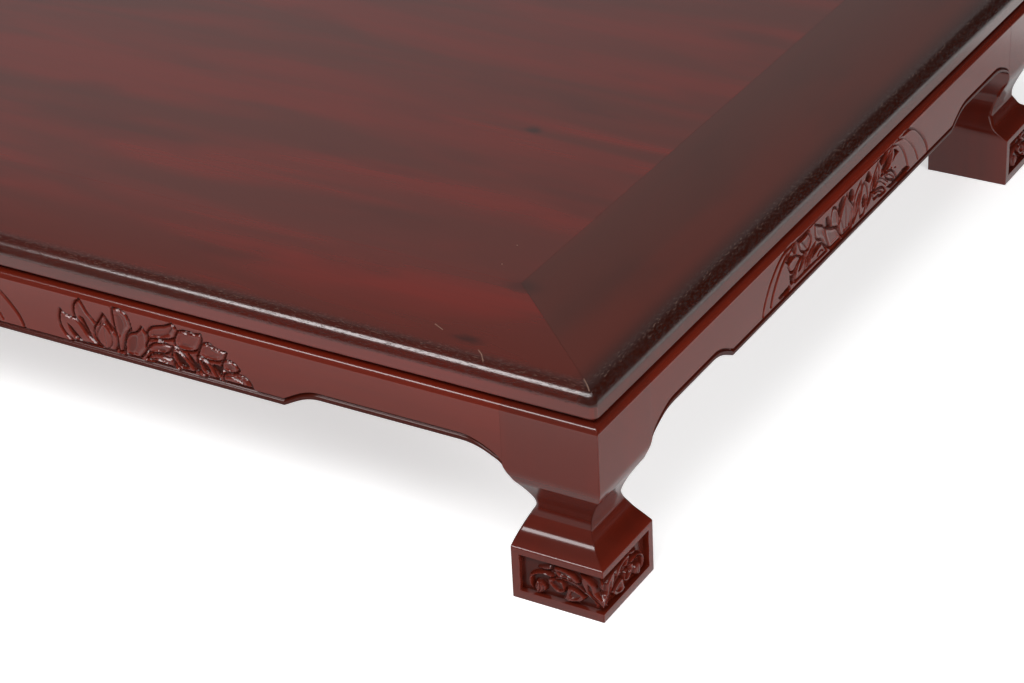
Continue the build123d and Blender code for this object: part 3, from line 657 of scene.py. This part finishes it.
def leg():
    """A post with its foot and the carving in its sunk panels, in its corner's frame."""
    whole = foot_size - panel_depth
    edge = 1 - panel_side / whole
    in_panel = spaced(0, edge - wall_slope / whole, across_pitch[0])
    across = np.concatenate([in_panel, spaced(edge, 1, across_pitch[1])])
    levels = post_levels()
    sunk_z = np.array([z for _, _, z, sunk in levels if sunk])
    grid_u, grid_z = np.meshgrid(panel_depth + whole * in_panel, sunk_z)
    carving = Carving(grid_u, grid_z, panel_depth)
    foot_flower(carving)
    depth = np.clip(carving.depth.reshape(grid_u.shape), panel_top_cut, panel_depth)
    depth_at = dict(zip(sunk_z, depth))
    bend_steps, little = 5, 0.3 * post_ease
    rings, painted_shades = [], []
    for out, far, z, sunk in levels:
        sink = np.zeros(len(across))
        if sunk:
            sink[:len(in_panel)] = depth_at[z]
        start, turn = out + sink[0], np.interp(z, *post_edge_rounds)
        u = start + (far - turn - start) * across
        bend = arc((far - turn, out + turn), turn, -90, 0, bend_steps)[1:]
        one = np.concatenate([np.stack([u, out + sink], -1), bend])
        one[0, 0] += post_ease
        tip = [(start + little, start + little)]
        inner_edge = [(far - post_ease, far), (far - little, far - little), (far, far - post_ease)]
        ring = np.concatenate([one[::-1], tip, one[:, ::-1], inner_edge])
        rings.append(np.column_stack([ring, np.full(len(ring), z)]))
        # painted shade: the sunk panel darker the deeper it is cut, and bands of the post by height
        shade_amount = np.pad(shade_by_depth(sink, *panel_shade), (0, bend_steps)) + np.interp(z, *post_shade)
        painted_shades.append(np.concatenate([shade_amount[::-1], shade_amount[:1], shade_amount, np.zeros(len(inner_edge))]))
    return loft("leg", rings, painted_shade=painted_shades)


# ---- materials
class Nodes:
    """The nodes of a material or a world, put in one by one."""

    def __init__(self, owner):
        owner.use_nodes = True
        self.nodes, self.links = owner.node_tree.nodes, owner.node_tree.links

    def give(self, socket, value):
        if isinstance(value, bpy.types.NodeSocket):
            self.links.new(value, socket)
        else:
            socket.default_value = value

    def put(self, kind, *inputs, **named):
        """A node with sockets or values for its inputs, the first ones in order."""
        node = self.nodes.new("ShaderNode" + kind)
        for socket, value in zip(node.inputs, inputs):
            self.give(socket, value)
        for name, value in named.items():
            self.give(node.inputs[name], value)
        return node

    def maths(self, operation, first, second=0.0):
        node = self.put("Math", first, second)
        node.operation = operation
        return node.outputs[0]

    def times(self, first, second):
        return self.maths("MULTIPLY", first, second)

    def plus(self, first, second):
        return self.maths("ADD", first, second)

    def less(self, first, second):
        return self.maths("SUBTRACT", first, second)

    def ramp(self, value, start, end, low, high):
        """Low below start, straight on to high above end."""
        return self.put("MapRange", value, start, end, low, high).outputs[0]

    def vector(self, operation, first, second=(0, 0, 0)):
        """A vector, or the number that a length or a product is."""
        node = self.put("VectorMath", first, second)
        node.operation = operation
        return node.outputs["Value" if operation in ("LENGTH", "DOT_PRODUCT") else "Vector"]


class Surface(Nodes):
    """A material, its patterns drawn out along a grain."""

    def __init__(self, name, grain="x", roughness=0.2, coat=0.5):
        self.material = bpy.data.materials.new(name)
        super().__init__(self.material)
        self.place, self.grain = self.put("TexCoord").outputs["Object"], grain
        self.shader = self.nodes["Principled BSDF"]
        self.shine(Roughness=roughness, Coat_Weight=coat, Coat_Roughness=0.12)

    def shine(self, **named):
        for name, value in named.items():
            self.give(self.shader.inputs[name.replace("_", " ")], value)

    def at(self, axis):
        return self.put("SeparateXYZ", self.place).outputs[axis]

    def inwards(self):
        """Distances in metres from the ends and from the sides of the table, towards its middle."""
        return [self.less(half * MM, self.maths("ABSOLUTE", self.at(axis)))
                for axis, half in (("X", half_length), ("Y", half_width))]

    def rise(self, value, start, end):
        """0 below start to 1 above end, smooth; start may be the greater."""
        node = self.put("MapRange", value, start, end)
        node.interpolation_type = "SMOOTHSTEP"
        return node.outputs[0]

    def blend(self, part, first, second, strength=1.0):
        """Colour from first to second by part of the strength."""
        node = self.put("Mix")
        node.data_type = "RGBA"
        self.give(node.inputs["Factor"], self.times(part, strength))
        for name, colour in (("A", first), ("B", second)):
            socket = next(i for i in node.inputs if i.name == name and i.type == "RGBA")
            self.give(socket, colour if isinstance(colour, bpy.types.NodeSocket) else (*colour, 1))
        return next(o for o in node.outputs if o.type == "RGBA")

    def noise(self, long, across, detail=2, warp=0.0):
        """Noise scaled by long along the grain and by across over it."""
        scale = [long if axis == self.grain else across for axis in "xyz"]
        place = self.vector("MULTIPLY", self.place, scale)
        return self.put("TexNoise", place, Scale=1.0, Detail=detail, Distortion=warp).outputs[0]


# dark colour of the knots and smudges, and of the painted shade
smudge_and_shade_colour = (0.022, 0.004, 0.002)
wear_colour = (0.42, 0.27, 0.20)
smudges = [(550, -94, 12, 10, 0.75), (712, -397, 26, 16, 0.5), (716, -508, 20, 8, 0.7),
           (590, -30, 60, 7, 0.3), (470, -240, 90, 9, 0.3)]    # x, y, half sizes, strength
scratches = [((672, -497), (684, -503)), ((734, -521), (741, -527)), ((741, -527), (748, -536)),
             ((669, -367), (670, -368)), ((663, -327), (664, -328)), ((848, -524), (861, -538))]
# where bands along the edges of the top start and are full, in metres from the edge; the stile and rail
# bands give painted shade
mitre_band, stile_shade_band, rail_shade_band = (0.14, 0.04), (0.046, 0.012), (0.030, 0.014)
pore_band, pale_band = (0.027, 0.015), (0.009, 0.016)
upper_band = (-16.5, -13.5)      # of the rounded edge, below the top in millimetres


def streaks(wood, base, dark):
    """Colour of the wood, streaked along its grain."""
    colour = wood.blend(wood.rise(wood.noise(1.6, 17, 4, 0.6), 0.36, 0.66), dark, base)
    return wood.blend(wood.rise(wood.noise(4, 170, 3), 0.4, 0.7), colour, dark, 0.22)


def shade_and_dull(wood, colour):
    """Darken the colour by the painted shade that a mesh carries, and dull the lacquer there."""
    attribute = wood.put("Attribute")
    attribute.attribute_name = "painted_shade"
    shade_amount = attribute.outputs["Fac"]
    gloss = wood.times(wood.less(1.0, wood.times(shade_amount, 0.8)), 0.5)
    wood.shine(Coat_Weight=gloss, Specular_IOR_Level=gloss)
    return wood.blend(shade_amount, colour, smudge_and_shade_colour, 0.85)


def smudge(wood, colour):
    """Dark knots and smudges in the top."""
    for x, y, half_x, half_y, strength in smudges:
        shifted = wood.vector("SUBTRACT", wood.place, (x * MM, y * MM, table_height * MM))
        scaled = wood.vector("MULTIPLY", shifted, (1 / half_x / MM, 1 / half_y / MM, 0))
        ragged = wood.times(wood.noise(60, 130), 0.9)
        away = wood.plus(wood.vector("LENGTH", scaled), ragged)
        colour = wood.blend(wood.rise(away, 1.7, 0.5), colour, smudge_and_shade_colour, strength)
    return colour


def scratch(wood, colour):
    """Fine pale scratches in the top."""
    for ends in scratches:
        start, end = (Vector((*spot, table_height)) * MM for spot in ends)
        step = end - start
        from_start = wood.vector("SUBTRACT", wood.place, start)
        part = wood.vector("DOT_PRODUCT", from_start, step / step.length_squared)
        part = wood.maths("MINIMUM", wood.maths("MAXIMUM", part, 0.0), 1.0)
        reached = wood.put("CombineXYZ", wood.times(part, step.x), wood.times(part, step.y)).outputs[0]
        flat = wood.vector("MULTIPLY", wood.vector("SUBTRACT", from_start, reached), (1, 1, 0))
        line = wood.rise(wood.vector("LENGTH", flat), 0.0008, 0.0002)
        colour = wood.blend(line, colour, wear_colour, 0.5)
    return colour


def aged(wood, colour, dark):
    """The top's patches, knots, scratches, painted shade along its edge, and the relief of the pores there.
    """
    in_x, in_y = wood.inwards()
    # the rails turn to the tone of the stiles toward the mitres
    patches = wood.noise(5, 12)
    wander = wood.times(wood.less(patches, 0.5), 0.2)
    near_end = wood.rise(wood.plus(in_x, wander), *mitre_band)
    colour = wood.blend(near_end, colour, stile_tones[0], 0.5)
    darker = tuple(0.75 * part for part in dark)
    colour = smudge(wood, wood.blend(wood.rise(patches, 0.52, 0.72), colour, darker, 0.5))
    high = wood.rise(wood.at("Z"), *((table_height + below) * MM for below in upper_band))
    ragged = wood.times(wood.less(wood.noise(260, 1500), 0.5), 0.012)
    inset = wood.plus(wood.maths("MINIMUM", in_x, in_y), ragged)
    # painted shade: the rounded edge of the top darker, most along the stiles, and the upright face below it
    # a little darker
    rail = wood.times(wood.rise(in_y, *rail_shade_band), 0.72)
    painted_shade = wood.times(wood.maths("MAXIMUM", wood.rise(in_x, *stile_shade_band), rail), high)
    painted_shade = wood.plus(painted_shade, wood.times(wood.less(1.0, high), 0.3))
    colour = wood.blend(painted_shade, colour, smudge_and_shade_colour, 0.93)
    # open pores in the rounded edge, pale where they are worn
    pores = wood.times(wood.rise(wood.noise(170, 1500), 0.57, 0.66),
                       wood.times(wood.rise(inset, *pore_band), high))
    pale = wood.times(pores, wood.rise(inset, *pale_band))
    colour = wood.blend(pale, colour, wear_colour, 0.25)
    bump = wood.put("Bump", Strength=0.8, Distance=0.0005, Height=pores)
    bump.invert = True
    wood.shine(Normal=bump.outputs[0])
    return scratch(wood, colour)


def lacquer(name, grain, base, dark, top=False):
    """Lacquered wood, streaked along its grain; the top is aged with painted shade along its edge, other
    pieces carry their painted shade.
    """
    wood = Surface(name, grain)
    colour = streaks(wood, base, dark)
    colour = aged(wood, colour, dark) if top else shade_and_dull(wood, colour)
    wood.shine(Base_Color=colour)
    return wood.material


rail_tones = (0.19, 0.012, 0.005), (0.12, 0.013, 0.006)
stile_tones = (0.105, 0.0125, 0.005), (0.085, 0.013, 0.006)
field_tones = (0.19, 0.012, 0.005), (0.115, 0.014, 0.007)
body_tones = (0.150, 0.013, 0.005), (0.118, 0.013, 0.006)
post_tones = (0.128, 0.012, 0.005), (0.106, 0.012, 0.006)

rail_look = lacquer("rail_lacquer", "x", *rail_tones, top=True)
stile_look = lacquer("stile_lacquer", "y", *stile_tones, top=True)
field_look = lacquer("field_lacquer", "x", *field_tones, top=True)
long_look = lacquer("long_lacquer", "x", *body_tones)
short_look = lacquer("short_lacquer", "y", *body_tones)
post_look = lacquer("post_lacquer", "z", *post_tones)
# painted shade: the waist strip in the gap under the top is given a dark colour
waist_shade_look = lacquer("waist_shade_lacquer", "x", (0.06, 0.006, 0.003), (0.03, 0.004, 0.002))
inner_wood = lacquer("inner_wood", "x", (0.12, 0.04, 0.02), (0.05, 0.02, 0.012))


# ---- the table
def add_alike(names, mesh, places, material):
    """The same shape in several places, a piece for each node."""
    for node, place in zip(names, places):
        piece = add_object(f"{node}_look", mesh.copy())
        piece.data.transform(place)
        piece.data.materials.append(material)
        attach(piece, "root")
        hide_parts(node)
    bpy.data.meshes.remove(mesh)


for kind, pair, inner, next_inner, frame_look, apron_look, spans, pitches in (
        ("rail", ("front", "back"), rail_inner, stile_inner, rail_look, long_look,
         [(0, 212), (250, 493)], (1.0, 0.9)),
        ("stile", ("left", "right"), stile_inner, rail_inner, stile_look, short_look,
         [(0, 212)], (0.75, 0.75))):
    places = [sides[side][0] for side in pair]
    half, step = sides[pair[0]][1:]
    add_alike([f"top_{kind}_{side}" for side in pair], frame_member(half, inner, next_inner), places,
              frame_look)
    add_alike([f"apron_{side}" for side in pair], apron(half, step, spans, *pitches), places,
              apron_look)
add_alike([f"leg_{corner}" for corner in corners], leg(), corners.values(), post_look)

for name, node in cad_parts.items():
    node.data.materials.clear()
    looks = {"field": field_look, "waist": waist_shade_look}
    node.data.materials.append(looks.get(name.split("_")[0], inner_wood))

# ---- studio
# what the room is like by direction: which way, where a band starts and ends, its brightness there
room_behind = (-0.616, 0.788, 0), (0.83, 0.93, 0.11, 0.37)
room_overhead = (0.75, 0.63, 0.2), (0.45, 0.8, 1.0, 0.12)
floor_lift, floor_whiter = 0.6, (0.9, 2.6)    # own light of the floor, and where it grows to white
# painted light and shadow on the floor in what gloss shows of it: dark near the table as a painted shadow, a
# painted bright band further out, dim far off; by distance from the sides of the table in metres
painted_floor_gloss = [(0.0, 0.50), (0.10, 0.48), (0.19, 0.42), (0.28, 0.55), (0.34, 0.95), (0.55, 0.95),
               (0.90, 0.35), (1.40, 0.07), (2.00, 0.02)]
painted_floor_side = (-0.4, 0.3, 1.25, 0.95)    # from and to which X, and how much brighter there: painted light, brighter towards the left


def floor_material():
    """White floor that keeps the table's shadow; what gloss shows of it has painted light and shadow, dark
    near the table, a bright band further out, brighter towards the left and dim far off.
    """
    surface = Surface("floor_white", roughness=0.9, coat=0)
    surface.shine(Base_Color=(0.92, 0.92, 0.92, 1), Specular_IOR_Level=0.0)
    out = surface.less(0.0, surface.maths("MINIMUM", *surface.inwards()))
    path = surface.put("LightPath").outputs
    seen = surface.maths("MAXIMUM", path["Is Camera Ray"], path["Is Transmission Ray"])
    lift = surface.plus(surface.times(surface.rise(out, *floor_whiter), 1 - floor_lift), floor_lift)
    glow = surface.put("Emission", Strength=surface.times(lift, seen))
    white = surface.put("AddShader", surface.shader.outputs[0], glow.outputs[0])
    farthest = painted_floor_gloss[-1][0]
    ramp = surface.put("ValToRGB", surface.maths("DIVIDE", out, farthest))
    stops = ramp.color_ramp.elements
    stops.remove(stops[1])
    stops[0].position, stops[0].color = 0, (*3 * (painted_floor_gloss[0][1],), 1)
    for reach, level in painted_floor_gloss[1:]:
        stops.new(reach / farthest).color = (*3 * (level,), 1)
    side = surface.ramp(surface.at("X"), *painted_floor_side)
    strength = surface.maths("MINIMUM", surface.times(ramp.outputs[0], side), 1.0)
    shown = surface.put("Emission", Strength=strength)
    total = surface.put("MixShader", path["Is Glossy Ray"], white.outputs[0], shown.outputs[0])
    surface.links.new(total.outputs[0], surface.nodes["Material Output"].inputs["Surface"])
    return surface.material


floor_mesh = bpy.data.meshes.new("floor")
reach, below = 30.0, -0.0005
floor_corners = [(-reach, -reach, below), (reach, -reach, below), (reach, reach, below),
                 (-reach, reach, below)]
floor_mesh.from_pydata(floor_corners, [], [(0, 1, 2, 3)])
floor_mesh.materials.append(floor_material())
add_object("floor", floor_mesh)


def room_light():
    """A room pale low behind the table on the left, dark on the right and dim overhead.

    To the camera itself it is plain white.
    """
    world = scene.world or bpy.data.worlds.new("room")
    scene.world = world
    room = Nodes(world)
    place = room.put("TexCoord").outputs["Generated"]
    behind, overhead = (room.ramp(room.vector("DOT_PRODUCT", place, way), *band)
                        for way, band in (room_behind, room_overhead))
    to_camera = room.put("LightPath").outputs["Is Camera Ray"]
    background = room.nodes["Background"]
    room.give(background.inputs["Strength"],
              room.maths("MAXIMUM", room.times(behind, overhead), to_camera))
    background.inputs["Color"].default_value = (1, 1, 1, 1)


room_light()


def soft_light(name, place, aim, size, power):
    light = bpy.data.lights.new(name, "AREA")
    light.shape = "RECTANGLE"
    light.size, light.size_y = size
    light.energy = power
    lamp = add_object(name, light)
    lamp.location = place
    lamp.rotation_euler = (Vector(aim) - Vector(place)).to_track_quat("-Z", "Y").to_euler()
    return lamp


soft_light("key", (-1.52, -3.39, 3.48), (0.3, -0.4, 0.1), (1.9, 1.6), 92)
soft_light("overhead", (1.5, -3.2, 4.2), (0.3, -0.3, 0.1), (1.8, 1.8), 90)
fill = soft_light("fill", (3.7, -1.4, 1.1), (0.5, -0.1, 0.1), (1.6, 1.6), 75)
fill.visible_glossy = False      # so that the polished top doesn't mirror it


# ---- camera
camera_turn, camera_lift, camera_roll = math.radians(31.76), math.radians(30.03), math.radians(-3.05)
camera_focal_px, picture_width, picture_height = 2903.9, 1024, 683
near_foot = Vector((half_length * MM, -half_width * MM, 0))
foot_px = (604.5, 623.5)
foot_distance = 2.739


def make_camera():
    back = Vector((math.sin(camera_turn) * math.cos(camera_lift),
                   -math.cos(camera_turn) * math.cos(camera_lift), math.sin(camera_lift)))
    level = Vector((math.cos(camera_turn), math.sin(camera_turn), 0))
    upright = back.cross(level)
    right = math.cos(camera_roll) * level + math.sin(camera_roll) * upright
    up = math.cos(camera_roll) * upright - math.sin(camera_roll) * level
    off_x, off_y = foot_px[0] - picture_width / 2, foot_px[1] - picture_height / 2
    spread = foot_distance / camera_focal_px
    place = near_foot + back * foot_distance - right * off_x * spread + up * off_y * spread
    data = bpy.data.cameras.new("camera")
    data.sensor_width = 36
    data.lens = camera_focal_px / picture_width * data.sensor_width
    scene.camera = add_object("camera", data)
    turn = Matrix((right, up, back)).transposed().to_4x4()
    scene.camera.matrix_world = Matrix.Translation(place) @ turn


make_camera()
scene.view_settings.view_transform = "Standard"
